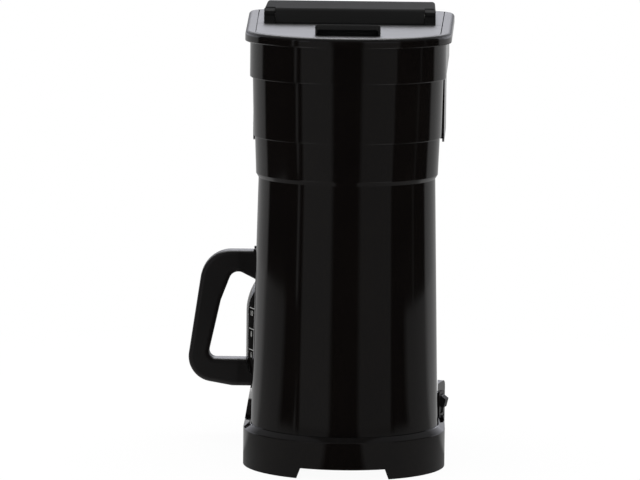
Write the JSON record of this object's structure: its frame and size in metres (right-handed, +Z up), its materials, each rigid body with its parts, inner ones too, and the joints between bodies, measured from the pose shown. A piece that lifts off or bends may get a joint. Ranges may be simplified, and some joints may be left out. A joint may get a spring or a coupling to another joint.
{
  "type": "drip coffee maker",
  "caption": "Tall black pour-in drip coffee maker with a hinged fill lid, slide-out brew funnel, glass carafe on a warmer plate, and rocker switches.",
  "frame": {"origin": "middle of the base's rest face, on the surface it stands on", "axes": "+Z up, the front with the carafe faces -Y, the pictured back faces +Y, the carafe handle points to +X"},
  "size_m": [0.2262, 0.352, 0.3735],
  "materials": {
    "gloss_black_abs": "high-gloss moulded black",
    "grained_black_abs": "fine-grained moulded black",
    "satin_black_plastic": "satin moulded black",
    "black_rocker_nylon": "semi-gloss black",
    "borosilicate_glass": "clear blown glass",
    "stainless_steel": "brushed",
    "enamelled_steel": "black baked coating",
    "cast_aluminium": "as cast",
    "silicone_rubber": "translucent grey",
    "natural_polypropylene": "natural white",
    "phenolic_resin": "dark brown moulded",
    "black_rubber": "matt",
    "white_ink": "printed on the glass, in the render only",
    "brewed_coffee": "liquid, in the render only"
  },
  "bodies": {
    "machine": {"base_housing": "gloss_black_abs", "tower_shell": "gloss_black_abs", "head_housing": "gloss_black_abs", "front_column": "gloss_black_abs", "top_cover": "grained_black_abs", "funnel_rails": "satin_black_plastic", "bottom_plate": "satin_black_plastic", "side_switch_frame": "satin_black_plastic", "front_switch_frame": "satin_black_plastic", "tank": "stainless_steel", "tank_lid": "stainless_steel", "tank_bolts": "stainless_steel", "tank_heater": "stainless_steel", "hinge_pins": "stainless_steel", "plate_screws": "stainless_steel", "valve_spring": "stainless_steel", "warmer_bracket": "stainless_steel", "spray_head": "stainless_steel", "warmer_plate": "enamelled_steel", "warmer_element": "cast_aluminium", "limit_thermostat": "cast_aluminium", "warmer_gasket": "silicone_rubber", "tank_gasket": "silicone_rubber", "outlet_tube": "silicone_rubber", "fill_bowl": "natural_polypropylene", "fill_tube": "natural_polypropylene", "spray_tube": "natural_polypropylene", "terminal_block": "phenolic_resin", "tank_stand": "phenolic_resin", "tank_thermostat": "phenolic_resin", "feet": "black_rubber", "cord_gland": "black_rubber"},
    "lid": {"lid": "grained_black_abs"},
    "valve": {"valve_plunger": "natural_polypropylene", "valve_seal": "silicone_rubber"},
    "funnel": {"brew_funnel": "satin_black_plastic", "funnel_handle": "satin_black_plastic"},
    "carafe": {"carafe_glass": "borosilicate_glass", "carafe_collar": "satin_black_plastic", "carafe_handle": "satin_black_plastic", "carafe_lid": "satin_black_plastic", "handle_bolt": "stainless_steel"},
    "side_switch": {"side_switch_rocker": "black_rocker_nylon"},
    "front_switch": {"front_switch_rocker": "black_rocker_nylon"}
  },
  "joints": [
    {"name": "lid_hinge", "type": "hinge", "parent": "machine", "child": "lid", "pos_m": [0, -0.0025, 0.367], "axis": [1, 0, 0], "range_deg": [0, 95]},
    {"name": "valve_lift", "type": "slide", "parent": "machine", "child": "valve", "axis": [0, 0, 1], "range_m": [0, 0.005], "deforming": ["valve_spring"]},
    {"name": "funnel_slide", "type": "slide", "parent": "machine", "child": "funnel", "axis": [0, -1, 0], "range_m": [0, 0.165]},
    {"name": "carafe_slide", "type": "slide", "parent": "machine", "child": "carafe", "axis": [0, -1, 0], "range_m": [0, 0.25]},
    {"name": "side_switch_rock", "type": "hinge", "parent": "machine", "child": "side_switch", "pos_m": [-0.07986, 0.02386, 0.043], "axis": [0.2588, 0.9659, 0], "range_deg": [0, 28]},
    {"name": "front_switch_rock", "type": "hinge", "parent": "machine", "child": "front_switch", "pos_m": [0, -0.1628, 0.0185], "axis": [0, 0, 1], "range_deg": [-28, 0]}
  ],
  "couplings": [
    {"joint": "valve_lift", "follows": "lid_hinge", "m_per_rad": 0.0030155}
  ]
}
